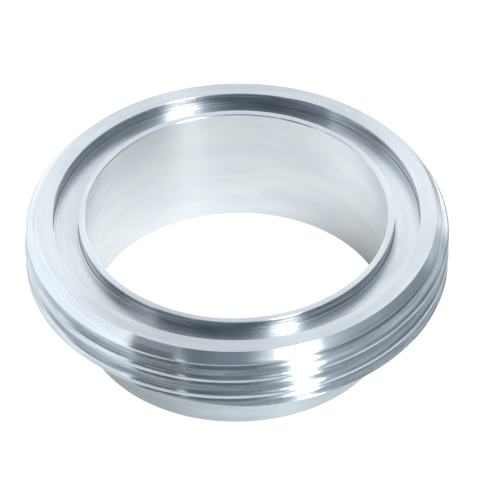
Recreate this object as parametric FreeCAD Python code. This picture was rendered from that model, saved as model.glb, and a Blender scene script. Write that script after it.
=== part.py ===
import FreeCAD, Part
import math
import os

# Sanitary male weld end: one turned ring of stainless steel. Its plain spigot is
# butt welded to a tube, and its collar carries a coarse round thread for the union
# nut. The face holds the gasket in a shallow ring recess round a low lip.
# Millimetres. The origin is the centre of the weld face, and +Z runs along the axis
# towards the gasket face.

# Tube bore and weld spigot
bore_diameter = 60.5
tube_outside_diameter = 63.5
spigot_length = 14.2
shoulder_radius = 1.5

# Threaded collar: a round thread, right-hand, counted in threads to the inch
thread_diameter = 85.0
threads_per_inch = 6.0
collar_height = 13.0
lead_chamfer = 2.5
thread_end_chamfer = 0.6
thread_start_angle = 174.0

# Round thread form: depth and radii go with the pitch
thread_depth_per_pitch = 0.5
thread_radius_per_pitch = 0.2385
flank_angle = 15.0
crest_land = 0.4

# The rounds of the thread are cut as flats, and its helix is swept in equal arcs
root_flats = 3
crest_flats = 2
arcs_per_turn = 3

# Gasket seat in the face
seat_outside_diameter = 73.4
lip_outside_diameter = 63.3
seat_depth = 2.7
lip_drop = 0.1

# Small breaks on the sharp edges
rim_edge_break = 0.15
bore_edge_break = 0.2
weld_edge_break = 0.2

MILLIMETRES_PER_INCH = 25.4
FULL_TURN = 360.0
AXIS_FOOT = FreeCAD.Vector(0, 0, 0)
AXIS = FreeCAD.Vector(0, 0, 1)

# Radii and heights that follow from the sizes above
bore_radius = bore_diameter / 2
tube_radius = tube_outside_diameter / 2
crest_radius = thread_diameter / 2
seat_outer_radius = seat_outside_diameter / 2
lip_radius = lip_outside_diameter / 2
rim_radius = crest_radius - lead_chamfer
shoulder_height = spigot_length
rim_height = spigot_length + collar_height
seat_height = rim_height - seat_depth
lip_height = rim_height - lip_drop

# Thread sizes that follow from the pitch
pitch = MILLIMETRES_PER_INCH / threads_per_inch
thread_depth = pitch * thread_depth_per_pitch
round_radius = pitch * thread_radius_per_pitch
root_radius = crest_radius - thread_depth
flank_turn = 90.0 - flank_angle
crest_centre_radius = crest_radius - math.sqrt(round_radius ** 2 - (crest_land / 2) ** 2)

# The groove is swept from clear of the shoulder to clear of the rim
groove_start = shoulder_height - pitch
groove_mouth_radius = crest_radius + thread_depth / 2
groove_turns = math.ceil((rim_height + pitch - groove_start) / pitch)


def section_point(radius, height):
    """Return a point of the half section, which lies in the XZ plane."""
    return FreeCAD.Vector(radius, 0, height)


def blank_outline():
    """Return the half section of the ring before its thread is cut."""
    corner = section_point(tube_radius, shoulder_height)
    fillet_centre = corner + section_point(shoulder_radius, -shoulder_radius)
    fillet_start = corner + section_point(0, -shoulder_radius)
    fillet_end = corner + section_point(shoulder_radius, 0)
    fillet_reach = shoulder_radius * math.sqrt(0.5)
    fillet_middle = fillet_centre + section_point(-fillet_reach, fillet_reach)
    fillet = Part.Arc(fillet_start, fillet_middle, fillet_end).toShape()
    straight_sides = Part.makePolygon([
        fillet_end,
        section_point(crest_radius - thread_end_chamfer, shoulder_height),
        section_point(crest_radius, shoulder_height + thread_end_chamfer),
        section_point(crest_radius, rim_height - lead_chamfer),
        section_point(rim_radius, rim_height),
        section_point(seat_outer_radius + rim_edge_break, rim_height),
        section_point(seat_outer_radius, rim_height - rim_edge_break),
        section_point(seat_outer_radius, seat_height),
        section_point(lip_radius, seat_height),
        section_point(lip_radius, lip_height - rim_edge_break),
        section_point(lip_radius - rim_edge_break, lip_height),
        section_point(bore_radius + bore_edge_break, lip_height),
        section_point(bore_radius, lip_height - bore_edge_break),
        section_point(bore_radius, weld_edge_break),
        section_point(bore_radius + weld_edge_break, 0),
        section_point(tube_radius - weld_edge_break, 0),
        section_point(tube_radius, weld_edge_break),
        fillet_start,
    ])
    return Part.Wire([fillet] + straight_sides.Edges)


def turned_blank():
    """Return the ring as it comes off the lathe before its thread is cut."""
    return Part.Face(blank_outline()).revolve(AXIS_FOOT, AXIS, FULL_TURN)


def flats_of_round(centre_radius, centre_height, start_turn, end_turn, flats):
    """Return the points that divide a round of the thread form into equal flats.

    Turns are in degrees, from straight outwards towards +Z.
    """
    points = []
    for index in range(flats + 1):
        turn = math.radians(start_turn + (end_turn - start_turn) * index / flats)
        radius = centre_radius + round_radius * math.cos(turn)
        height = centre_height + round_radius * math.sin(turn)
        points.append(section_point(radius, height))
    return points


def groove_section():
    """Return the section of the thread groove at the foot of its sweep.

    The crest rounds beside the groove start inside the land, just clear of the
    collar, so that the groove opens through its whole width.
    """
    lower_crest = groove_start - pitch / 2
    upper_crest = groove_start + pitch / 2
    land_turn = math.degrees(math.asin(crest_land / 4 / round_radius))
    lower = flats_of_round(crest_centre_radius, lower_crest, land_turn, flank_turn, crest_flats)
    upper = flats_of_round(crest_centre_radius, upper_crest, -flank_turn, -land_turn, crest_flats)
    root = flats_of_round(
        root_radius + round_radius, groove_start, 180.0 + flank_turn, 180.0 - flank_turn, root_flats)
    mouth_bottom = section_point(groove_mouth_radius, lower[0].z)
    mouth_top = section_point(groove_mouth_radius, upper[-1].z)
    return Part.makePolygon([mouth_bottom] + lower + root + upper + [mouth_top, mouth_bottom])


def thread_groove():
    """Return the right-hand helical groove as one solid."""
    arc_rise = pitch / arcs_per_turn
    arc_turn = FULL_TURN / arcs_per_turn
    edges = []
    for index in range(groove_turns * arcs_per_turn):
        arc = Part.makeHelix(pitch, arc_rise, crest_radius)
        arc.rotate(AXIS_FOOT, AXIS, index * arc_turn)
        arc.translate(FreeCAD.Vector(0, 0, groove_start + index * arc_rise))
        edges.extend(arc.Edges)
    groove = Part.Wire(edges).makePipeShell([groove_section()], True, True)
    groove.rotate(AXIS_FOOT, AXIS, thread_start_angle)
    return groove


def male_weld_end():
    """Return the finished ring."""
    return turned_blank().cut(thread_groove())


os.makedirs("parts", exist_ok=True)
ring = male_weld_end()
ring.exportStep("parts/male_weld_end.step")
print("male_weld_end valid", ring.isValid(), "solids", len(ring.Solids), "volume", round(ring.Volume, 1))
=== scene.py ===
"""Looks of a sanitary male weld end: one turned stainless ring with a round thread."""

import logging
import math
from dataclasses import dataclass, field
from enum import Enum

import bpy
from bpy.types import Material, Mesh, Node, NodeSocket, NodeTree, Object
from mathutils import Matrix, Vector


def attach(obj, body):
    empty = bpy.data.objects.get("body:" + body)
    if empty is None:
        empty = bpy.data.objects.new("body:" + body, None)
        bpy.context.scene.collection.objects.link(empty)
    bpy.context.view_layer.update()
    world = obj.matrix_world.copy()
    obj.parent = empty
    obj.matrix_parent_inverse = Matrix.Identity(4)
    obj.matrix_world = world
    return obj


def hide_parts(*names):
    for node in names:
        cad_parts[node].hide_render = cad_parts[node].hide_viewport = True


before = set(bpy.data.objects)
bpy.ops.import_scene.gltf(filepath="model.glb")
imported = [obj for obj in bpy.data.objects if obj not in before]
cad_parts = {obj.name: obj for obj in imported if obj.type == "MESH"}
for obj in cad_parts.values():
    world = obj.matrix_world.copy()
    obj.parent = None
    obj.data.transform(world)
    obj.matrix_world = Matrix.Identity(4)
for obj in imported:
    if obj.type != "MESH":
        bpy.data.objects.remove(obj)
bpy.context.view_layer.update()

MM = 0.001
DEGREES_PER_RADIAN = math.degrees(1.0)
Colour = tuple[float, float, float]
Paint = NodeSocket | Colour
Span = tuple[float, float]
log = logging.getLogger("weld_end")

# A Mix node's two colour sockets and its colour output, by number, because their names repeat
MIX_COLOURS = (6, 7)
MIX_RESULT = 2


# Helpers for node trees

@dataclass(frozen=True)
class Term:
    """A number in a node tree, which can be written into sums.

    Args:
        tree: The node tree that the number belongs to.
        value: The socket that carries it, or a plain number.
    """

    tree: NodeTree
    value: NodeSocket | float

    def feed(self, socket: NodeSocket) -> None:
        """Put this number on an input socket.

        Args:
            socket: The socket that takes it.
        """
        if isinstance(self.value, NodeSocket):
            self.tree.links.new(self.value, socket)
        else:
            socket.default_value = self.value

    def math(self, operation: str, *others: "Term | float") -> "Term":
        """Return the result of a Math node.

        Args:
            operation: The node's operation, by its Blender name.
            others: The numbers that follow this one on the node.

        Returns:
            The result as a new term.
        """
        node = self.tree.nodes.new("ShaderNodeMath")
        node.operation = operation
        self.feed(node.inputs[0])
        for socket, other in zip(node.inputs[1:], others):
            term_of(self.tree, other).feed(socket)
        return Term(self.tree, node.outputs[0])

    def __add__(self, other: "Term | float") -> "Term":
        """Return the sum."""
        return self.math("ADD", other)

    def __sub__(self, other: "Term | float") -> "Term":
        """Return the difference."""
        return self.math("SUBTRACT", other)

    def __rsub__(self, other: float) -> "Term":
        """Return a plain number less this term."""
        return term_of(self.tree, other) - self

    def __mul__(self, other: "Term | float") -> "Term":
        """Return the product."""
        return self.math("MULTIPLY", other)

    def __truediv__(self, other: "Term | float") -> "Term":
        """Return the quotient."""
        return self.math("DIVIDE", other)

    def at_most(self, other: "Term | float") -> "Term":
        """Return the smaller of two numbers."""
        return self.math("MINIMUM", other)

    def at_least(self, other: "Term | float") -> "Term":
        """Return the larger of two numbers."""
        return self.math("MAXIMUM", other)

    def below(self, other: "Term | float") -> "Term":
        """Return 1 where this number is less than another, and 0 elsewhere."""
        return self.math("LESS_THAN", other)

    def step(self, start: float, end: float) -> "Term":
        """Return a smooth rise from 0 at start to 1 at end.

        Args:
            start: Where the rise begins.
            end: Where it is complete. It may lie below start.

        Returns:
            The rise as a term.
        """
        node = self.tree.nodes.new("ShaderNodeMapRange")
        node.interpolation_type = "SMOOTHSTEP"
        self.feed(node.inputs["Value"])
        node.inputs["From Min"].default_value = min(start, end)
        node.inputs["From Max"].default_value = max(start, end)
        node.inputs["To Min"].default_value = 0.0 if start < end else 1.0
        node.inputs["To Max"].default_value = 1.0 if start < end else 0.0
        return Term(self.tree, node.outputs["Result"])


def term_of(tree: NodeTree, value: Term | NodeSocket | float) -> Term:
    """Return a socket or a plain number as a term of a tree."""
    return value if isinstance(value, Term) else Term(tree, value)


def choose(mask: Term, when_one: Term, when_zero: Term) -> Term:
    """Return one of two numbers by a mask of 0 or 1."""
    return when_zero + mask * (when_one - when_zero)


def vector_of(tree: NodeTree, *parts: Term) -> NodeSocket:
    """Return the vector that three numbers make.

    Args:
        tree: The node tree of the numbers.
        parts: The three numbers.

    Returns:
        The vector's socket.
    """
    node = tree.nodes.new("ShaderNodeCombineXYZ")
    for socket, part in zip(node.inputs, parts):
        part.feed(socket)
    return node.outputs[0]


def parts_of(tree: NodeTree, vector: NodeSocket) -> tuple[Term, Term, Term]:
    """Return the three numbers of a vector.

    Args:
        tree: The node tree of the vector.
        vector: The vector's socket.

    Returns:
        The numbers as terms.
    """
    node = tree.nodes.new("ShaderNodeSeparateXYZ")
    tree.links.new(vector, node.inputs[0])
    return tuple(Term(tree, socket) for socket in node.outputs)


def object_place(tree: NodeTree) -> tuple[Term, Term, Term]:
    """Return the object's own coordinates in a material."""
    return parts_of(tree, tree.nodes.new("ShaderNodeTexCoord").outputs["Object"])


def distance_from_axis(x: Term, y: Term) -> Term:
    """Return how far a place is from the upright axis."""
    return (x * x + y * y).math("SQRT")


def turn_from_front(x: Term, y: Term) -> Term:
    """Return how far a direction turns from the front to the right, in degrees."""
    return x.math("ARCTAN2", y * -1.0) * DEGREES_PER_RADIAN


def rise_over(place: Term, span: Span) -> Term:
    """Return a smooth rise from 0 to 1 over a span in millimetres."""
    return place.step(span[0] * MM, span[1] * MM)


def band(place: Term, span: Span, edge: float) -> Term:
    """Return 1 inside a span and 0 outside it, with soft edges.

    Args:
        place: The number that the span is taken on.
        span: Where the band starts and ends.
        edge: Half width of its soft edges.

    Returns:
        The band as a term.
    """
    start, end = span
    return place.step(start - edge, start + edge) * place.step(end + edge, end - edge)


def mixed_colour(tree: NodeTree, share: Term, first: Paint, second: Paint) -> NodeSocket:
    """Return a colour mixed from two.

    Args:
        tree: The node tree.
        share: Share of the second colour, from 0 to 1.
        first: The colour at a share of 0.
        second: The colour at a share of 1.

    Returns:
        The mixed colour's socket.
    """
    node = tree.nodes.new("ShaderNodeMix")
    node.data_type = "RGBA"
    share.feed(node.inputs[0])
    for number, colour in zip(MIX_COLOURS, (first, second)):
        if isinstance(colour, tuple):
            node.inputs[number].default_value = (*colour, 1.0)
        else:
            tree.links.new(colour, node.inputs[number])
    return node.outputs[MIX_RESULT]


def node_of_type(tree: NodeTree, kind: str) -> Node:
    """Return a tree's first node of a type."""
    return next(node for node in tree.nodes if node.type == kind)


def add_sockets(tree: NodeTree, side: str, kind: str, names: list[str]) -> None:
    """Add named sockets of one kind to the INPUT or OUTPUT side of a node group."""
    for name in names:
        tree.interface.new_socket(name=name, in_out=side, socket_type=kind)


# Finishes of the turned steel

# A quarter turn lays the stretched highlight across marks that run round the axis
HIGHLIGHT_TURN = 0.25

# Where the shared noise starts to count as a streak, and where it is one
STREAK_EDGES = (0.35, 0.65)


class Region(Enum):
    """The surfaces of the ring that carry a finish of their own."""

    FACE = "Face Finish"
    # The recess walls' finish carries painted shade: its colours are much darker than the face's
    RECESS = "Recess Wall Finish And Painted Shade"
    THREAD = "Thread Finish"
    BORE = "Bore Finish"
    SPIGOT = "Spigot Finish"


@dataclass(frozen=True)
class TurnedFinish:
    """A finish left by the lathe, whose marks run round the axis.

    Args:
        name: Name of the material.
        colour: Colour of the bare metal.
        streak_colour: Colour of the metal in the streaks of the marks.
        roughness: Blur of the surface between the marks.
        streak_roughness: Blur of the surface in the streaks.
        stretch: How far the marks stretch a highlight across them, from 0 to 1.
        mark_width_mm: Width of one mark.
        mark_depth_mm: Depth of one mark.
        mark_runs: How often a mark changes in one turn.
        painted_groove_shade: Darker colour painted into the bottom of a groove, as shade there.
        groove_roughness: Blur added there.
        groove_mm: Radii where a groove starts and where it is deepest.
    """

    name: str
    colour: Colour
    streak_colour: Colour
    roughness: float
    streak_roughness: float
    stretch: float
    mark_width_mm: float
    mark_depth_mm: float
    mark_runs: float
    painted_groove_shade: Colour = (1.0, 1.0, 1.0)
    groove_roughness: float = 0.0
    groove_mm: Span = (0.0, 0.0)

    def material(self, marks: NodeTree) -> Material:
        """Return the Blender material.

        Args:
            marks: The shared group that makes the turning marks.

        Returns:
            The finished material.
        """
        material = bpy.data.materials.new(self.name)
        material.use_nodes = True
        tree = material.node_tree
        shader = node_of_type(tree, "BSDF_PRINCIPLED")
        shader.inputs["Metallic"].default_value = 1.0
        shader.inputs["Anisotropic"].default_value = self.stretch
        shader.inputs["Anisotropic Rotation"].default_value = HIGHLIGHT_TURN
        group = tree.nodes.new("ShaderNodeGroup")
        group.node_tree = marks
        group.inputs["Mark Width"].default_value = self.mark_width_mm * MM
        group.inputs["Runs"].default_value = self.mark_runs
        streak = Term(tree, group.outputs["Streak"])
        colour = mixed_colour(tree, streak, self.colour, self.streak_colour)
        rough = streak * (self.streak_roughness - self.roughness) + self.roughness
        # In the grooves the colour darkens as painted shade, and the blur grows
        if self.groove_mm[0] > 0.0:
            x, y, _ = object_place(tree)
            depth = rise_over(distance_from_axis(x, y), self.groove_mm)
            colour = mixed_colour(tree, depth, colour, self.painted_groove_shade)
            rough = rough + depth * self.groove_roughness
        tree.links.new(colour, shader.inputs["Base Color"])
        rough.feed(shader.inputs["Roughness"])
        bump = tree.nodes.new("ShaderNodeBump")
        bump.inputs["Distance"].default_value = self.mark_depth_mm * MM
        tree.links.new(group.outputs["Height"], bump.inputs["Height"])
        tree.links.new(bump.outputs["Normal"], shader.inputs["Normal"])
        return material


FINISHES: dict[Region, TurnedFinish] = {
    Region.FACE: TurnedFinish(
        name="turned_face", colour=(0.80, 0.83, 0.85), streak_colour=(0.74, 0.77, 0.80), roughness=0.2,
        streak_roughness=0.24, stretch=0.95, mark_width_mm=0.35, mark_depth_mm=0.002, mark_runs=3.0),
    # The recess walls' colour and streak colour are painted much darker than the face's, as painted shade
    # in the recess
    Region.RECESS: TurnedFinish(
        name="bored_recess_painted_shade", colour=(0.50, 0.53, 0.55), streak_colour=(0.23, 0.25, 0.27), roughness=0.19,
        streak_roughness=0.27, stretch=0.5, mark_width_mm=0.15, mark_depth_mm=0.002, mark_runs=2.0),
    # The thread's groove colour is painted shade in the bottoms of the grooves
    Region.THREAD: TurnedFinish(
        name="turned_thread", colour=(0.72, 0.75, 0.77), streak_colour=(0.53, 0.56, 0.59), roughness=0.18,
        streak_roughness=0.21, stretch=1.0, mark_width_mm=0.15, mark_depth_mm=0.001, mark_runs=5.0,
        painted_groove_shade=(0.46, 0.49, 0.51), groove_roughness=0.1, groove_mm=(41.0, 40.5)),
    Region.BORE: TurnedFinish(
        name="satin_bore", colour=(0.80, 0.83, 0.84), streak_colour=(0.76, 0.79, 0.81), roughness=0.31,
        streak_roughness=0.33, stretch=0.85, mark_width_mm=0.8, mark_depth_mm=0.0005, mark_runs=2.0),
    Region.SPIGOT: TurnedFinish(
        name="satin_spigot", colour=(0.62, 0.66, 0.68), streak_colour=(0.56, 0.60, 0.62), roughness=0.28,
        streak_roughness=0.34, stretch=0.8, mark_width_mm=0.5, mark_depth_mm=0.002, mark_runs=2.0),
}


def turning_marks_group() -> NodeTree:
    """Return the shader group of the marks that a lathe leaves round the axis.

    Returns:
        A group with Mark Width and Runs inputs and Height and Streak outputs.
    """
    tree = bpy.data.node_groups.new("turning_marks", "ShaderNodeTree")
    add_sockets(tree, "INPUT", "NodeSocketFloat", ["Mark Width", "Runs"])
    add_sockets(tree, "OUTPUT", "NodeSocketFloat", ["Height", "Streak"])
    inputs = tree.nodes.new("NodeGroupInput")
    outputs = tree.nodes.new("NodeGroupOutput")
    x, y, z = object_place(tree)
    width = Term(tree, inputs.outputs["Mark Width"])
    runs = Term(tree, inputs.outputs["Runs"])
    radius = distance_from_axis(x, y).at_least(MM)
    along_x = x / radius * runs
    along_y = y / radius * runs
    for name, spread, detail in (("Height", 1.0, 2.0), ("Streak", 4.0, 3.0)):
        noise = tree.nodes.new("ShaderNodeTexNoise")
        noise.noise_dimensions = "4D"
        noise.inputs["Scale"].default_value = 1.0
        noise.inputs["Detail"].default_value = detail
        tree.links.new(vector_of(tree, along_x, along_y, z / width / spread), noise.inputs["Vector"])
        (radius / width / spread).feed(noise.inputs["W"])
        result = Term(tree, noise.outputs[0])
        if name == "Streak":
            result = result.step(*STREAK_EDGES)
        result.feed(outputs.inputs[name])
    return tree


# The ring itself

# Rise of the thread in one turn: six threads to the inch
PITCH_MM = 25.4 / 6

# The named sizes that shape the collar's outside
THREAD_SIZES = [
    "Run-out Round", "Pitch", "Crest Radius", "Root Radius", "Round Radius", "Crest Centre Radius",
    "Round Rise", "Flank Top Radius",
]
COLLAR_SIZES = [
    "Start Angle", "Shoulder Height", "Rim Height", "Lead Chamfer", "End Chamfer", *THREAD_SIZES,
]

# The thread's rows of points start this many pitches below the shoulder
PITCHES_BELOW = 1.5

# Share of the rows of half a pitch that lie on each of its two rounds
ROUNDS_SHARE = 0.42

# Depths below the rim where the soft run-out of a ridge starts and is whole
RUN_OUT_SPAN = (0.4 * MM, 1.4 * MM)

# Rows nearer to the rim than this lie on it, and points nearer than the second are one
RIM_SNAP = 0.05 * MM
MERGE_REACH = 0.002 * MM

# Edges that turn by more than this stay sharp
CREASE_TURN = math.radians(32.0)

# How far past an edge one finish gives way to the next
FINISH_MARGIN = 0.01 * MM

# A corner of this radius or more is a round to be seen, and has more points than a fine edge
LARGE_ROUND_MM = 1.0
LARGE_ROUND_STEPS = 10
FINE_ROUND_STEPS = 4


@dataclass
class RoundThread:
    """The coarse right-hand round thread of the collar, in millimetres and degrees.

    Args:
        crest_radius: Radius over the ridges.
        pitch: Rise of the helix in one turn.
        depth: Depth of the groove.
        round_radius: Radius of the rounded crests and roots.
        flank_turn: Turn of a crest or root round from its middle to the flank.
        crest_land: Width left plain along the top of a ridge.
        start_angle: Angle where the groove opens through the shoulder.
        run_out_round: Reach of the round where a ridge runs out into the lead chamfer.
        rows_per_pitch: Rows of mesh points along one pitch.
    """

    crest_radius: float = 42.5
    pitch: float = PITCH_MM
    depth: float = PITCH_MM / 2
    round_radius: float = 0.2385 * PITCH_MM
    flank_turn: float = 75.0
    crest_land: float = 0.4
    start_angle: float = 174.0
    run_out_round: float = 2.4
    rows_per_pitch: int = 44

    def sizes(self) -> dict[str, float]:
        """Return the thread's named sizes.

        Returns:
            The sizes in metres, by the names of THREAD_SIZES.
        """
        turn = math.radians(self.flank_turn)
        round_rise = self.round_radius * math.sin(turn)
        crest_centre = self.crest_radius - math.sqrt(self.round_radius ** 2 - (self.crest_land / 2) ** 2)
        return {
            "Run-out Round": self.run_out_round * MM,
            "Pitch": self.pitch * MM,
            "Crest Radius": self.crest_radius * MM,
            "Root Radius": (self.crest_radius - self.depth) * MM,
            "Round Radius": self.round_radius * MM,
            "Crest Centre Radius": crest_centre * MM,
            "Round Rise": round_rise * MM,
            "Flank Top Radius": (crest_centre + self.round_radius * math.cos(turn)) * MM,
        }


@dataclass
class MaleWeldEnd:
    """The whole ring: spigot, threaded collar, gasket recess and bore, in millimetres.

    Args:
        bore_radius: Radius of the bore.
        spigot_radius: Outside radius of the weld spigot.
        shoulder_height: Height of the underside of the collar.
        shoulder_round: Radius of the corner between spigot and collar.
        rim_height: Height of the rim face.
        lead_chamfer: Size of the chamfer at the start of the thread.
        end_chamfer: Size of the chamfer at the foot of the collar.
        seat_outer_radius: Outside radius of the gasket recess.
        seat_corner: Radius of the recess's inner corners.
        seat_height: Height of the recess floor.
        lip_radius: Outside radius of the lip round the bore.
        lip_height: Height of the lip.
        edge_break: Radius on the fine edges.
        bore_edge_break: Radius on the bore's edge at the lip.
        weld_edge_break: Radius on the edges of the weld face.
        hold: Distance of the extra point beside a corner, which keeps its shading.
        edge_reach: How far the finish of a wall reaches past its edge.
        columns: Mesh columns round the axis.
        thread: The thread on the collar.
    """

    bore_radius: float = 30.25
    spigot_radius: float = 31.75
    shoulder_height: float = 14.2
    shoulder_round: float = 1.5
    rim_height: float = 27.2
    lead_chamfer: float = 2.5
    end_chamfer: float = 0.6
    seat_outer_radius: float = 36.7
    seat_corner: float = 0.2
    seat_height: float = 24.5
    lip_radius: float = 31.65
    lip_height: float = 27.1
    edge_break: float = 0.15
    bore_edge_break: float = 0.22
    weld_edge_break: float = 0.2
    hold: float = 0.06
    edge_reach: float = 0.02
    columns: int = 448
    thread: RoundThread = field(default_factory=RoundThread)

    def half_section(self) -> list[Vector]:
        """Return the points of the half section from the rim inwards and round to the shoulder.

        Returns:
            Points in metres, with the radius as x and the height as z.
        """
        crest = self.thread.crest_radius
        foot = crest - self.end_chamfer
        corners = [
            (crest - self.lead_chamfer, self.rim_height, 0.0),
            (crest - self.lead_chamfer - self.hold, self.rim_height, 0.0),
            (self.seat_outer_radius, self.rim_height, self.edge_break),
            (self.seat_outer_radius, self.seat_height, self.seat_corner),
            (self.lip_radius, self.seat_height, self.seat_corner),
            (self.lip_radius, self.lip_height, self.edge_break),
            (self.bore_radius, self.lip_height, self.bore_edge_break),
            (self.bore_radius, 0.0, self.weld_edge_break),
            (self.spigot_radius, 0.0, self.weld_edge_break),
            (self.spigot_radius, self.shoulder_height, self.shoulder_round),
            (crest - self.thread.depth - self.hold, self.shoulder_height, 0.0),
            (foot - self.hold, self.shoulder_height, 0.0),
            (foot, self.shoulder_height, 0.0),
        ]
        return rounded_path(corners, self.hold)

    def section_object(self) -> Object:
        """Return the half section as an object.

        Returns:
            An object whose mesh holds the section's points in order.
        """
        mesh = bpy.data.meshes.new("half_section")
        points = self.half_section()
        mesh.from_pydata(points, [(i, i + 1) for i in range(len(points) - 1)], [])
        section = bpy.data.objects.new("half_section", mesh)
        bpy.context.collection.objects.link(section)
        return section

    def build(self, finishes: dict[Region, Material]) -> Object:
        """Return the ring as one closed mesh with its finishes.

        Args:
            finishes: The material of each region.

        Returns:
            The finished object, at the origin of the frame.
        """
        section = self.section_object()
        rows = len(section.data.vertices)
        tree = threaded_ring_tree()
        modifier = section.modifiers.new("ring", "NODES")
        modifier.node_group = tree
        thread = self.thread
        reach = (self.rim_height - self.shoulder_height) / thread.pitch
        pitches = math.ceil(reach + PITCHES_BELOW) + 1
        values: dict[str, object] = {
            "Columns": self.columns,
            "Section Rows": rows,
            "Rows per Pitch": thread.rows_per_pitch,
            "Thread Rows": pitches * thread.rows_per_pitch + 1,
            "Start Angle": math.radians(thread.start_angle),
            "Shoulder Height": self.shoulder_height * MM,
            "Rim Height": self.rim_height * MM,
            "Lead Chamfer": self.lead_chamfer * MM,
            "End Chamfer": self.end_chamfer * MM,
            "Bore Reach": (self.bore_radius + self.edge_reach) * MM,
            "Spigot Top": (self.shoulder_height - self.shoulder_round / 2) * MM,
            "Seat Wall Foot": (self.seat_height + self.edge_reach) * MM,
            "Rim Edge": 2 * self.edge_break * MM,
            **thread.sizes(),
            **{region.value: finishes[region] for region in Region},
        }
        for item in tree.interface.items_tree:
            if item.item_type == "SOCKET" and item.in_out == "INPUT" and item.name in values:
                modifier[item.identifier] = values[item.name]
        depsgraph = bpy.context.evaluated_depsgraph_get()
        mesh = bpy.data.meshes.new_from_object(section.evaluated_get(depsgraph))
        section.modifiers.remove(modifier)
        bpy.data.objects.remove(section)
        mesh.name = "threaded_ring"
        # The first slot is the half section's own, which is empty
        mesh.materials.pop(index=0)
        ring = bpy.data.objects.new("threaded_ring", mesh)
        bpy.context.collection.objects.link(ring)
        log.info("threaded_ring: %d faces, %d materials", len(mesh.polygons), len(mesh.materials))
        return ring


def rounded_path(corners: list[tuple[float, float, float]], hold: float) -> list[Vector]:
    """Return an open path whose corners are rounded and held by close points.

    Args:
        corners: Rows of radius, height and corner radius, in millimetres.
        hold: Distance of the extra point on each side of a rounded corner.

    Returns:
        The points in metres, with the radius as x and the height as z.
    """
    points = [Vector((radius, 0.0, height)) for radius, height, _ in corners]
    path: list[Vector] = []
    for index, (_, _, corner_radius) in enumerate(corners):
        here = points[index]
        if corner_radius == 0.0:
            path.append(here * MM)
            continue
        before = (points[index - 1] - here).normalized()
        after = (points[index + 1] - here).normalized()
        half = before.angle(after) / 2
        reach = corner_radius / math.tan(half)
        centre = here + (before + after).normalized() * (corner_radius / math.sin(half))
        start = (here + before * reach - centre).normalized()
        end = (here + after * reach - centre).normalized()
        path.append((here + before * (reach + hold)) * MM)
        steps = FINE_ROUND_STEPS if corner_radius < LARGE_ROUND_MM else LARGE_ROUND_STEPS
        for step in range(steps + 1):
            path.append((centre + start.slerp(end, step / steps) * corner_radius) * MM)
        path.append((here + after * (reach + hold)) * MM)
    return path


def outside_radius_group() -> NodeTree:
    """Return the group that gives the collar's outside radius at a height and angle.

    Returns:
        A geometry group with the thread's named sizes as inputs and a Radius output.
    """
    tree = bpy.data.node_groups.new("collar_outside", "GeometryNodeTree")
    names = ["Height", "Angle", *COLLAR_SIZES]
    add_sockets(tree, "INPUT", "NodeSocketFloat", names)
    add_sockets(tree, "OUTPUT", "NodeSocketFloat", ["Radius"])
    inputs = tree.nodes.new("NodeGroupInput")
    outputs = tree.nodes.new("NodeGroupOutput")
    value = {name: Term(tree, inputs.outputs[name]) for name in names}
    pitch = value["Pitch"]
    round_radius = value["Round Radius"]
    rise = value["Round Rise"]

    turns = (value["Angle"] - value["Start Angle"]) / math.tau
    crests = (value["Height"] - value["Shoulder Height"]) / pitch - turns + 0.5
    from_crest = (crests - crests.math("ROUND")).math("ABSOLUTE") * pitch
    from_root = pitch * 0.5 - from_crest

    square = round_radius * round_radius
    crest_bulge = (square - from_crest * from_crest).at_least(0.0).math("SQRT")
    crest_round = value["Crest Centre Radius"] + crest_bulge
    root_centre = value["Root Radius"] + round_radius
    root_round = root_centre - (square - from_root * from_root).at_least(0.0).math("SQRT")
    flank_foot = root_centre - (square - rise * rise).math("SQRT")
    share = (from_crest - rise) / (pitch * 0.5 - rise - rise)
    flank = value["Flank Top Radius"] + share * (flank_foot - value["Flank Top Radius"])
    thread = choose(from_crest.below(rise), crest_round, choose(from_root.below(rise), root_round, flank))

    crest = value["Crest Radius"]
    lead = crest - (value["Height"] - value["Rim Height"] + value["Lead Chamfer"])
    foot = crest - value["End Chamfer"] + (value["Height"] - value["Shoulder Height"]).at_least(0.0)
    softness = value["Run-out Round"] * (value["Rim Height"] - value["Height"]).step(*RUN_OUT_SPAN)
    ridge = thread.at_most(crest).math("SMOOTH_MIN", lead, softness)
    ridge.at_most(foot).feed(outputs.inputs["Radius"])
    return tree


@dataclass
class GridPatch:
    """A grid of mesh points wrapped round the axis inside a geometry tree.

    It numbers each point's column and row, and gives the column's share of a turn.

    Args:
        tree: The tree that the grid is built in.
        columns: Number of mesh columns round the axis.
        rows: Number of rows of points.
    """

    tree: NodeTree
    columns: Term
    rows: Term

    def __post_init__(self) -> None:
        """Make the grid and number its rows and columns."""
        self.grid = self.tree.nodes.new("GeometryNodeMeshGrid")
        (self.columns + 1.0).feed(self.grid.inputs["Vertices X"])
        self.rows.feed(self.grid.inputs["Vertices Y"])
        index = Term(self.tree, self.tree.nodes.new("GeometryNodeInputIndex").outputs[0])
        self.column = ((index + 0.5) / self.rows).math("FLOOR")
        self.row = index - self.column * self.rows
        self.turns = self.column / self.columns

    def wrapped(self, radius: Term, height: Term, angle: Term) -> NodeSocket:
        """Return the grid with its points put at a radius, height and angle.

        Args:
            radius: Distance of each point from the axis.
            height: Height of each point.
            angle: Angle of each point round the axis.

        Returns:
            The geometry socket of the wrapped grid.
        """
        placed = self.tree.nodes.new("GeometryNodeSetPosition")
        self.tree.links.new(self.grid.outputs["Mesh"], placed.inputs["Geometry"])
        x = radius * angle.math("COSINE")
        y = radius * angle.math("SINE")
        self.tree.links.new(vector_of(self.tree, x, y, height), placed.inputs["Position"])
        return placed.outputs["Geometry"]


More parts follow.
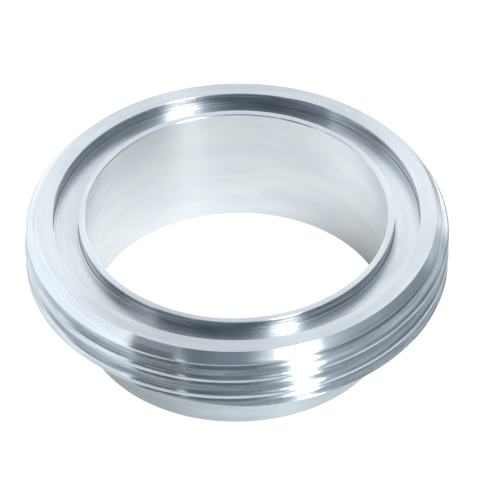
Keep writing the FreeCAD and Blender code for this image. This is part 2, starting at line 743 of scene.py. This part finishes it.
def helix_row_height(patch: GridPatch, value: dict[str, Term]) -> Term:
    """Return the height of a thread row above the crest that the rows start from.

    Rows lie close together on the rounded crests and roots and far apart on the
    straight flanks between them.

    Args:
        patch: The grid whose rows are spread.
        value: The tree's inputs by name.

    Returns:
        The height before the helix lifts it.
    """
    pitch = value["Pitch"]
    rise = value["Round Rise"]
    flank_turn = (rise / value["Round Radius"]).math("ARCSINE")
    place = patch.row / value["Rows per Pitch"]
    nearest = place.math("ROUND")
    offset = place - nearest
    share = offset.math("ABSOLUTE") * 2.0
    on_crest = value["Round Radius"] * (share / ROUNDS_SHARE * flank_turn).math("SINE")
    on_root = pitch * 0.5 - value["Round Radius"] * ((1.0 - share) / ROUNDS_SHARE * flank_turn).math("SINE")
    flank_rise = pitch * 0.5 - rise - rise
    on_flank = rise + (share - ROUNDS_SHARE) / (1.0 - 2.0 * ROUNDS_SHARE) * flank_rise
    on_ridge_side = choose(share.below(1.0 - ROUNDS_SHARE), on_flank, on_root)
    distance = choose(share.below(ROUNDS_SHARE), on_crest, on_ridge_side)
    return nearest * pitch + offset.math("SIGN") * distance


def smoothed(tree: NodeTree, geometry: NodeSocket) -> NodeSocket:
    """Return the mesh shaded smooth, apart from its sharp edges.

    Args:
        tree: The geometry tree.
        geometry: The mesh.

    Returns:
        The geometry socket of the shaded mesh.
    """
    smooth = tree.nodes.new("GeometryNodeSetShadeSmooth")
    tree.links.new(geometry, smooth.inputs["Geometry"])
    creased = tree.nodes.new("GeometryNodeSetShadeSmooth")
    creased.domain = "EDGE"
    creased.inputs["Shade Smooth"].default_value = False
    edge_angle = Term(tree, tree.nodes.new("GeometryNodeInputMeshEdgeAngle").outputs["Unsigned Angle"])
    (1.0 - edge_angle.below(CREASE_TURN)).feed(creased.inputs["Selection"])
    tree.links.new(smooth.outputs["Geometry"], creased.inputs["Geometry"])
    return creased.outputs["Geometry"]


def region_masks(place: tuple[Term, Term, Term], value: dict[str, Term]) -> dict[Region, Term]:
    """Return where each region of the ring lies, apart from the face, which is the rest.

    Args:
        place: The x, y and z of a point.
        value: The tree's inputs by name.

    Returns:
        A mask for each region.
    """
    x, y, z = place
    radius = distance_from_axis(x, y)
    inside_rim = radius.below(value["Crest Radius"] - value["Lead Chamfer"])
    inside_collar = radius.below(value["Root Radius"] - FINISH_MARGIN)
    below_collar = z.below(value["Shoulder Height"] + FINISH_MARGIN)
    below_chamfer = z.below(value["Rim Height"] - value["Lead Chamfer"])
    below_rim = z.below(value["Rim Height"] - value["Rim Edge"])
    in_bore = radius.below(value["Bore Reach"])
    return {
        # The recess walls, which take the darker colours of painted shade
        Region.RECESS: inside_rim * below_rim * (1.0 - z.below(value["Seat Wall Foot"])),
        Region.THREAD: (1.0 - inside_collar) * (1.0 - below_collar) * below_chamfer,
        Region.SPIGOT: z.below(value["Spigot Top"]) * (1.0 - in_bore),
        Region.BORE: in_bore,
    }


def threaded_ring_tree() -> NodeTree:
    """Return the geometry tree that turns a half section into the threaded ring.

    Returns:
        A tree that takes the half section's points and the ring's named sizes.
    """
    tree = bpy.data.node_groups.new("threaded_ring", "GeometryNodeTree")
    counts = ["Columns", "Section Rows", "Rows per Pitch", "Thread Rows"]
    sizes = [*COLLAR_SIZES, "Bore Reach", "Spigot Top", "Seat Wall Foot", "Rim Edge"]
    add_sockets(tree, "INPUT", "NodeSocketGeometry", ["Half Section"])
    add_sockets(tree, "INPUT", "NodeSocketInt", counts)
    add_sockets(tree, "INPUT", "NodeSocketFloat", sizes)
    add_sockets(tree, "INPUT", "NodeSocketMaterial", [region.value for region in Region])
    add_sockets(tree, "OUTPUT", "NodeSocketGeometry", ["Ring"])
    inputs = tree.nodes.new("NodeGroupInput")
    value = {name: Term(tree, inputs.outputs[name]) for name in [*counts, *sizes]}
    outside = outside_radius_group()

    def outside_radius(height: Term, angle: Term) -> Term:
        """Return the collar's outside radius.

        Args:
            height: Height of the place on the collar.
            angle: Its angle round the axis.

        Returns:
            The radius there.
        """
        group = tree.nodes.new("GeometryNodeGroup")
        group.node_tree = outside
        for socket in group.inputs:
            source = {"Height": height, "Angle": angle}.get(socket.name) or value[socket.name]
            source.feed(socket)
        return Term(tree, group.outputs["Radius"])

    # The thread: rows follow the helix and are held between the shoulder and the rim
    collar = GridPatch(tree, value["Columns"], value["Thread Rows"])
    collar_angle = value["Start Angle"] + collar.turns * math.tau
    first_crest = value["Shoulder Height"] - value["Pitch"] * PITCHES_BELOW
    lifted = first_crest + helix_row_height(collar, value) + collar.turns * value["Pitch"]
    held = lifted.at_least(value["Shoulder Height"]).at_most(value["Rim Height"])
    held = choose(held.below(value["Rim Height"] - RIM_SNAP), held, value["Rim Height"])
    collar_mesh = collar.wrapped(outside_radius(held, collar_angle), held, collar_angle)

    # The rest: the half section is turned round the axis, inside the thread's foot
    body = GridPatch(tree, value["Columns"], value["Section Rows"])
    body_angle = value["Start Angle"] + body.turns * math.tau
    sample = tree.nodes.new("GeometryNodeSampleIndex")
    sample.data_type = "FLOAT_VECTOR"
    tree.links.new(inputs.outputs["Half Section"], sample.inputs["Geometry"])
    position = tree.nodes.new("GeometryNodeInputPosition")
    tree.links.new(position.outputs[0], sample.inputs["Value"])
    body.row.feed(sample.inputs["Index"])
    section_radius, _, section_height = parts_of(tree, sample.outputs["Value"])
    body_radius = section_radius.at_most(outside_radius(section_height, body_angle))
    body_mesh = body.wrapped(body_radius, section_height, body_angle)

    joined = tree.nodes.new("GeometryNodeJoinGeometry")
    for mesh in (collar_mesh, body_mesh):
        tree.links.new(mesh, joined.inputs["Geometry"])
    merged = tree.nodes.new("GeometryNodeMergeByDistance")
    merged.inputs["Distance"].default_value = MERGE_REACH
    tree.links.new(joined.outputs["Geometry"], merged.inputs["Geometry"])
    realized = tree.nodes.new("GeometryNodeRealizeInstances")
    tree.links.new(smoothed(tree, merged.outputs["Geometry"]), realized.inputs["Geometry"])

    # Each region takes its finish by where it lies, over the finish of the face
    masks = region_masks(parts_of(tree, position.outputs[0]), value)
    dressed = realized.outputs["Geometry"]
    for region in Region:
        dressing = tree.nodes.new("GeometryNodeSetMaterial")
        tree.links.new(dressed, dressing.inputs["Geometry"])
        if region in masks:
            masks[region].feed(dressing.inputs["Selection"])
        tree.links.new(inputs.outputs[region.value], dressing.inputs["Material"])
        dressed = dressing.outputs["Geometry"]
    outputs = tree.nodes.new("NodeGroupOutput")
    tree.links.new(dressed, outputs.inputs["Ring"])
    return tree


# The studio

WHITE: Colour = (1.0, 1.0, 1.0)
BLACK: Colour = (0.0, 0.0, 0.0)


@dataclass(frozen=True)
class StudioPanel:
    """A field of even light in the studio round the object.

    A field is placed by the surface that mirrors it towards the camera: the turn of
    that surface's normal from the front to the right, and its tilt above the horizon,
    both in degrees.

    Args:
        name: What the field is.
        colour: Its light.
        turn: Where it starts and ends sideways.
        tilt: Where it starts and ends upwards.
        softness: Half widths of its side edges and of its lower and upper edges.
    """

    name: str
    colour: Colour
    turn: Span
    tilt: Span
    softness: Span

    def mask(self, turn: Term, tilt: Term) -> Term:
        """Return the field's mask for a direction."""
        return band(turn, self.turn, self.softness[0]) * band(tilt, self.tilt, self.softness[1])


# The name, light, turn, tilt and softness of each field, each over the ones before it
PANEL_ROWS = (
    ("front", (0.2, 0.25, 0.3), (-40, 27), (5, 80), (2, 3)),
    ("front_left", (0.15, 0.19, 0.22), (-40, -8), (5, 80), (3, 3)),
    ("dark_left", (0.07, 0.085, 0.095), (-40, -17.5), (5, 80), (1, 3)),
    ("front_right", (0.42, 0.49, 0.57), (7, 27), (5, 80), (3.5, 3)),
    ("above_camera", (1.25, 1.4, 1.6), (-31, -18), (46.8, 51), (3, 1)),
    ("front_high", (0.46, 0.53, 0.6), (-17, 27), (63, 80), (3, 4)),
    ("right", (0.31, 0.36, 0.41), (22, 100), (5, 80), (1, 3)),
    ("blue_right", (0.44, 0.54, 0.64), (20, 30), (5, 80), (4, 3)),
    ("right_middle", (0.21, 0.26, 0.29), (34, 78), (28, 46), (4, 1)),
    ("right_low", (0.5, 0.56, 0.62), (27, 58), (5, 29), (4, 2)),
    ("right_high", (0.62, 0.67, 0.73), (22, 100), (58.5, 80), (4, 4.5)),
    ("right_over", (0.7, 0.74, 0.78), (26, 45), (47.5, 54), (3, 1)),
    ("far_right", (0.55, 0.62, 0.67), (68, 100), (5, 56), (5, 3)),
    ("right_back", (1.5, 1.55, 1.6), (84, 100), (5, 80), (5, 3)),
    ("left_box", (1.08, 1.14, 1.2), (-94, -31), (5, 79), (0.6, 3)),
    ("left_high", (0.14, 0.16, 0.18), (-54, -33), (53, 79), (5, 2)),
    ("skirt", (2.1, 2.2, 2.3), (6, 22), (37, 42.6), (6, 0.6)),
    ("strip", (7.5, 7.5, 7.5), (14.6, 20.9), (8, 69), (0.5, 3)),
    ("strip_middle", (6, 6, 6), (11.3, 22.2), (43, 48), (0.4, 1)),
    ("strip_low", (8, 8, 8), (11.6, 21.6), (38, 43.2), (0.5, 0.6)),
    ("left_line", (2.2, 2.2, 2.2), (-34.2, -32.9), (45, 50), (0.3, 1)),
    ("front_line", (0.5, 0.54, 0.58), (-17.9, -16.5), (5, 70), (0.3, 2)),
    ("front_bar", (2.6, 2.7, 2.8), (-16.5, -15.2), (10, 31), (0.4, 2)),
    ("back_left", (1.2, 1.24, 1.28), (-200, -93), (-95, 95), (4, 2)),
    ("back_right", (1.6, 1.64, 1.68), (99, 200), (-95, 95), (4, 2)),
    ("back_top", (1.02, 1.06, 1.1), (-200, 200), (81, 95), (1, 4)),
    ("top_front", (0.5, 0.54, 0.58), (-50, 40), (82, 95), (12, 2)),
)


@dataclass
class WhiteFloor:
    """The white floor, whose glow lights the ring from below and through its bore.

    Spans are in millimetres from the axis: outwards, to the right or to the back.
    Each goes from where a rise begins to where it is whole.

    Args:
        width_m: Width of the floor, in metres.
        gap_mm: Gap between the floor and the weld face.
        light: Light that the floor sends up.
        far_light: Share of it that is left once it has fallen.
        far_span: Fall of the light outwards.
        far_slope: Slope of the line at whose front right the light falls.
        far_blend: Rise of that fall across the line.
        foot_span: Rise of the object's own shade, inwards.
        foot_shade: Share of light that the shade takes all round.
        foot_left_shade: Share that it takes besides at the left.
        foot_left_span: Rise of that part, to the left.
        patches: The turn of each field, in degrees from the front to the right, and the
            light that it adds, below 0 for shade.
        patch_edge: Half width of a patch's side edges, in degrees.
        patch_span: Rise of the patches outwards.
        tint: Share of red, green and blue in the light, each under the bore and outside.
        bore_reach_mm: Radius of the floor under the bore.
        bore_light: Light in its middle.
        bore_right_light: Light at its right edge.
        bore_right_span: Rise of that change, to the right.
        bore_back: Light added at its back.
        bore_back_span: Rise of that light, to the back.
        bore_left: Light added at its left.
        bore_left_span: Rise of that light, to the left.
    """

    width_m: float = 6.0
    gap_mm: float = 0.05
    light: float = 1.05
    far_light: float = 0.3
    far_span: Span = (47.0, 140.0)
    far_slope: float = 0.62
    far_blend: Span = (-20.0, 20.0)
    foot_span: Span = (44.0, 33.0)
    foot_shade: float = 0.04
    foot_left_shade: float = 0.42
    foot_left_span: Span = (2.0, -24.0)
    patches: tuple[tuple[Span, float], ...] = (
        ((20.5, 28.0), 2.4),
        ((-42.0, -22.0), -0.2),
        ((-22.0, 8.0), -0.07),
        ((40.0, 110.0), -0.1),
    )
    patch_edge: float = 1.5
    patch_span: Span = (50.0, 60.0)
    tint: tuple[Span, Span, Span] = ((0.965, 0.935), (1.0, 1.0), (1.025, 1.035))
    bore_reach_mm: float = 31.0
    bore_light: float = 0.87
    bore_right_light: float = 0.27
    bore_right_span: Span = (0.0, 28.0)
    bore_back: float = 0.2
    bore_back_span: Span = (8.0, 26.0)
    bore_left: float = 0.12
    bore_left_span: Span = (-4.0, -22.0)

    def build(self) -> Object:
        """Return the floor.

        Returns:
            The floor's object, which is no part of the ring.
        """
        half = self.width_m / 2
        height = -self.gap_mm * MM
        corners = [(x * half, y * half, height) for x, y in ((-1, -1), (1, -1), (1, 1), (-1, 1))]
        mesh = bpy.data.meshes.new("floor")
        mesh.from_pydata(corners, [], [(0, 1, 2, 3)])
        mesh.materials.append(self.glow())
        floor = bpy.data.objects.new("floor", mesh)
        bpy.context.collection.objects.link(floor)
        log.info("floor: %.1f m square", self.width_m)
        return floor

    def glow(self) -> Material:
        """Return the floor's material, which glows and looks white to the camera.

        Returns:
            The finished material.
        """
        material = bpy.data.materials.new("white_floor")
        material.use_nodes = True
        tree = material.node_tree
        shader = node_of_type(tree, "BSDF_PRINCIPLED")
        shader.inputs["Base Color"].default_value = (*BLACK, 1.0)
        shader.inputs["Specular IOR Level"].default_value = 0.0
        shader.inputs["Emission Strength"].default_value = self.light
        x, y, _ = object_place(tree)
        radius = distance_from_axis(x, y)
        in_bore = radius.below(self.bore_reach_mm * MM)
        lit = choose(in_bore, self.light_under_bore(x, y), self.light_outside(x, y, radius))
        seen = Term(tree, tree.nodes.new("ShaderNodeLightPath").outputs["Is Camera Ray"])
        shown = []
        for under_bore, outside in self.tint:
            share = choose(in_bore, term_of(tree, under_bore), term_of(tree, outside))
            shown.append((lit * share).at_least(seen))
        tree.links.new(vector_of(tree, *shown), shader.inputs["Emission Color"])
        return material

    def light_outside(self, x: Term, y: Term, radius: Term) -> Term:
        """Return the light of the floor outside the bore.

        Args:
            x: Place to the right of the axis.
            y: Place behind the axis.
            radius: Distance from the axis.

        Returns:
            The light as a term.
        """
        front_right = rise_over(x - y * self.far_slope, self.far_blend)
        fall = rise_over(radius, self.far_span) * front_right * (1.0 - self.far_light)
        shade = rise_over(x, self.foot_left_span) * self.foot_left_shade + self.foot_shade
        light = (1.0 - fall) * (1.0 - rise_over(radius, self.foot_span) * shade)
        turn = turn_from_front(x, y)
        for span, strength in self.patches:
            place = band(turn, span, self.patch_edge) * rise_over(radius, self.patch_span)
            light = light + place * strength
        return light

    def light_under_bore(self, x: Term, y: Term) -> Term:
        """Return the light of the floor under the bore.

        Args:
            x: Place to the right of the axis.
            y: Place behind the axis.

        Returns:
            The light as a term.
        """
        to_right = self.bore_light - self.bore_right_light
        light = self.bore_light - rise_over(x, self.bore_right_span) * to_right
        light = light + rise_over(y, self.bore_back_span) * self.bore_back
        return light + rise_over(x, self.bore_left_span) * self.bore_left


@dataclass
class StudioCamera:
    """The camera, at the photograph's viewing angle.

    Args:
        rim_scale: Pixels of the frame for one millimetre at the rim face.
        distance_mm: Distance from the camera to the middle of the rim face.
        elevation: Height of the camera above the horizon, in degrees.
        roll: Turn of the camera about its own line of sight, in degrees.
        rim_pixel: Where the middle of the rim face lies in the frame.
        frame_pixels: Width of the square frame.
        sensor_mm: Width of the camera's sensor.
    """

    rim_scale: float = 5.010
    distance_mm: float = 900.0
    elevation: float = 41.96
    roll: float = -1.0
    rim_pixel: tuple[float, float] = (236.5, 213.3)
    frame_pixels: float = 500.0
    sensor_mm: float = 36.0

    def build(self, rim_height_mm: float) -> Object:
        """Return the camera.

        Args:
            rim_height_mm: Height of the rim face, which the camera looks at.

        Returns:
            The camera's object, set as the scene's camera.
        """
        data = bpy.data.cameras.new("camera")
        data.sensor_width = self.sensor_mm
        data.lens = self.rim_scale * self.distance_mm * self.sensor_mm / self.frame_pixels
        camera = bpy.data.objects.new("camera", data)
        camera.matrix_world = self.placement(rim_height_mm)
        bpy.context.collection.objects.link(camera)
        bpy.context.scene.camera = camera
        log.info("camera: %.1f mm lens at %.2f degrees", data.lens, self.elevation)
        return camera

    def placement(self, rim_height_mm: float) -> Matrix:
        """Return the camera's place and turn.

        Args:
            rim_height_mm: Height of the rim face.

        Returns:
            The matrix of the camera in the frame.
        """
        tilt = math.radians(self.elevation)
        back = Vector((0.0, -math.cos(tilt), math.sin(tilt)))
        right = Vector((1.0, 0.0, 0.0))
        up = back.cross(right)
        rim_centre = Vector((0.0, 0.0, rim_height_mm * MM))
        place = rim_centre + back * self.distance_mm * MM
        # The frame's middle lies to the right of the rim's middle and below it
        aside = (self.frame_pixels / 2 - self.rim_pixel[0]) / self.rim_scale * MM
        below = (self.frame_pixels / 2 - self.rim_pixel[1]) / self.rim_scale * MM
        roll = math.radians(self.roll)
        aim_right = aside * math.cos(roll) + below * math.sin(roll)
        aim_up = aside * math.sin(roll) - below * math.cos(roll)
        aim = rim_centre + right * aim_right + up * aim_up
        axis = (place - aim).normalized()
        side = up.cross(axis).normalized()
        level = Matrix((side, axis.cross(side), axis)).transposed().to_4x4()
        return Matrix.Translation(place) @ (level @ Matrix.Rotation(roll, 4, "Z"))


@dataclass
class Studio:
    """The white floor, the soft studio light and the camera.

    Args:
        overhead: Light of the studio's ceiling.
        panels: The fields of light and shade, each over the ones before it.
        floor: The floor that the ring stands over.
        camera: The camera that looks at the ring.
    """

    overhead: Colour = (0.30, 0.34, 0.38)
    panels: tuple[StudioPanel, ...] = tuple(StudioPanel(*row) for row in PANEL_ROWS)
    floor: WhiteFloor = field(default_factory=WhiteFloor)
    camera: StudioCamera = field(default_factory=StudioCamera)

    def build(self, rim_height_mm: float) -> None:
        """Make the floor, the light and the camera.

        Args:
            rim_height_mm: Height of the rim face, which the camera looks at.
        """
        self.floor.build()
        self.light()
        self.camera.build(rim_height_mm)
        view_settings = bpy.context.scene.view_settings
        view_settings.view_transform = "Standard"
        view_settings.look = "None"

    def light(self) -> None:
        """Light the studio with its panels, and keep it white where the camera looks past the ring."""
        world = bpy.data.worlds.new("studio")
        bpy.context.scene.world = world
        world.use_nodes = True
        tree = world.node_tree
        direction = tree.nodes.new("ShaderNodeTexCoord")
        x, y, z = parts_of(tree, direction.outputs["Generated"])
        # The surface that mirrors a direction to the camera faces halfway between the two
        view = math.radians(self.camera.elevation)
        halfway_y = y - math.cos(view)
        halfway_z = z + math.sin(view)
        turn = turn_from_front(x, halfway_y)
        tilt = halfway_z.math("ARCTAN2", distance_from_axis(x, halfway_y)) * DEGREES_PER_RADIAN
        colour: Paint = self.overhead
        for panel in self.panels:
            colour = mixed_colour(tree, panel.mask(turn, tilt), colour, panel.colour)
            colour.node.label = panel.name
        seen = Term(tree, tree.nodes.new("ShaderNodeLightPath").outputs["Is Camera Ray"])
        background = node_of_type(tree, "BACKGROUND")
        tree.links.new(mixed_colour(tree, seen, colour, WHITE), background.inputs["Color"])
        log.info("studio light: %d panels", len(self.panels))


def main() -> None:
    """Build the ring, dress it and set up the studio."""
    logging.basicConfig(level=logging.INFO, format="%(name)s: %(message)s")
    marks = turning_marks_group()
    finishes = {region: FINISHES[region].material(marks) for region in Region}
    weld_end = MaleWeldEnd()
    ring = weld_end.build(finishes)
    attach(ring, "root")
    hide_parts("male_weld_end")
    Studio().build(weld_end.rim_height)


if __name__ == "__main__":
    main()
